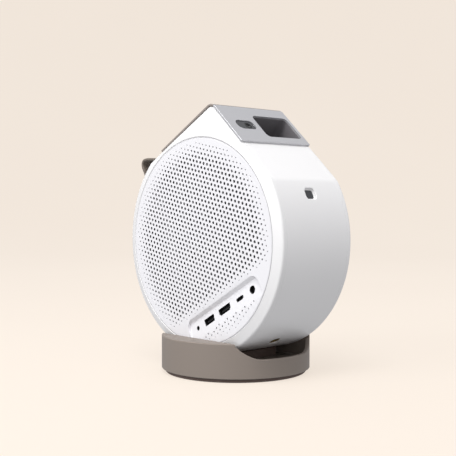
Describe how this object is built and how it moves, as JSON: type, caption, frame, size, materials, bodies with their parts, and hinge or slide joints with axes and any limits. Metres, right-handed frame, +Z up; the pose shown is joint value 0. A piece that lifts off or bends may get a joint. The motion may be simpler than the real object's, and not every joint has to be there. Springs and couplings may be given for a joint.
{
  "type": "home projector",
  "caption": "Drum-shaped portable home projector with a perforated speaker grille on each side, a deep lens window, a carry strap and a round cradle base that it tilts in.",
  "frame": {"origin": "on the table under the middle of the round base", "axes": "+X along the drum's axis, away from the side with the ports; -Y is the lens side; +Z up"},
  "size_m": [0.12, 0.1891, 0.2122],
  "materials": {
    "white_shell": "fine satin moulded plastic",
    "grille_white": "powder-coated perforated sheet",
    "silver_plate": "fine bead-blasted, silver",
    "taupe_plate": "satin taupe",
    "taupe_base": "satin taupe with a fine texture",
    "strap_skin": "smooth matt taupe",
    "dark_plastic": "dark grey, matt",
    "black_plastic": "black, satin",
    "dark_glass": "infrared-clear black, polished",
    "lens_glass": "coated optical glass",
    "soft_rubber": "matt",
    "circuit_board": "green solder mask",
    "cast_alloy": "as cast",
    "copper": "bright copper",
    "steel": "zinc plated",
    "brass": "turned",
    "cone_paper": "black pressed pulp",
    "battery_wrap": "shrink wrap"
  },
  "bodies": {
    "base": {"base_shell": "taupe_base", "saddle_pad": "soft_rubber", "bottom_plate": "dark_plastic", "base_screw_1": "steel", "base_screw_2": "steel", "base_screw_3": "steel", "base_weight": "steel", "base_magnet": "steel", "foot_pad": "soft_rubber"},
    "drum": {"barrel_shell": "white_shell", "left_side_frame": "white_shell", "right_side_frame": "white_shell", "left_grille": "grille_white", "right_grille": "grille_white", "lens_plate": "silver_plate", "top_plate": "taupe_plate", "carry_strap": "strap_skin", "lens_well": "dark_plastic", "camera_module": "dark_plastic", "inner_tray": "dark_plastic", "lens_barrel": "black_plastic", "camera_lens": "black_plastic", "dc_power_socket": "black_plastic", "audio_socket": "black_plastic", "fan_frame": "black_plastic", "camera_window": "dark_glass", "sensor_window": "dark_glass", "projection_lens": "lens_glass", "image_chip_board": "circuit_board", "port_board": "circuit_board", "button_board": "circuit_board", "main_board": "circuit_board", "power_board": "circuit_board", "light_engine": "cast_alloy", "heat_sink": "cast_alloy", "led_module": "copper", "heat_pipe": "copper", "focus_motor": "steel", "hdmi_socket": "steel", "usb_a_socket": "steel", "usb_c_socket": "steel", "strap_clamp_upper": "steel", "strap_clamp_lower": "steel", "keeper_strip": "steel", "left_speaker_basket": "steel", "left_speaker_magnet": "steel", "right_speaker_basket": "steel", "right_speaker_magnet": "steel", "tripod_bush": "brass", "battery_pack": "battery_wrap"},
    "power_button": {"power_button": "silver_plate"},
    "volume_down_button": {"volume_down_button": "silver_plate"},
    "volume_up_button": {"volume_up_button": "silver_plate"},
    "source_button": {"source_button": "silver_plate"},
    "fan_rotor": {"fan_rotor": "dark_plastic"},
    "focus_cell": {"focus_cell": "black_plastic", "focus_lens": "lens_glass"},
    "focus_pinion": {"focus_pinion": "brass"},
    "left_speaker_cone": {"left_speaker_cone": "cone_paper"},
    "right_speaker_cone": {"right_speaker_cone": "cone_paper"}
  },
  "joints": [
    {"name": "drum_tilt", "type": "hinge", "parent": "base", "child": "drum", "pos_m": [0, 0, 0.106], "axis": [1, 0, 0], "range_deg": [-75, 60]},
    {"name": "power_button_press", "type": "slide", "parent": "drum", "child": "power_button", "axis": [0, -0.4924, -0.8704], "range_m": [0, 0.0008], "stiffness_N_per_m": 1500, "springref_m": -0.0003},
    {"name": "volume_down_button_press", "type": "slide", "parent": "drum", "child": "volume_down_button", "axis": [0, -0.4924, -0.8704], "range_m": [0, 0.0008], "stiffness_N_per_m": 1500, "springref_m": -0.0003},
    {"name": "volume_up_button_press", "type": "slide", "parent": "drum", "child": "volume_up_button", "axis": [0, -0.4924, -0.8704], "range_m": [0, 0.0008], "stiffness_N_per_m": 1500, "springref_m": -0.0003},
    {"name": "source_button_press", "type": "slide", "parent": "drum", "child": "source_button", "axis": [0, -0.4924, -0.8704], "range_m": [0, 0.0008], "stiffness_N_per_m": 1500, "springref_m": -0.0003},
    {"name": "fan_spin", "type": "hinge", "parent": "drum", "child": "fan_rotor", "pos_m": [-0.0213, -0.04018, 0.10807], "axis": [1, 0, 0], "continuous": true},
    {"name": "focus_travel", "type": "slide", "parent": "drum", "child": "focus_cell", "axis": [0, -0.6794, 0.7337], "range_m": [0, 0.003]},
    {"name": "focus_drive", "type": "hinge", "parent": "drum", "child": "focus_pinion", "pos_m": [0.0147, -0.01243, 0.14737], "axis": [1, 0, 0], "range_deg": [0, 60.1]},
    {"name": "left_cone_travel", "type": "slide", "parent": "drum", "child": "left_speaker_cone", "axis": [-1, 0, 0], "range_m": [-0.001, 0.001], "stiffness_N_per_m": 900},
    {"name": "right_cone_travel", "type": "slide", "parent": "drum", "child": "right_speaker_cone", "axis": [1, 0, 0], "range_m": [-0.001, 0.001], "stiffness_N_per_m": 900}
  ],
  "couplings": [
    {"joint": "focus_drive", "follows": "focus_travel", "rad_per_m": 349.07}
  ]
}
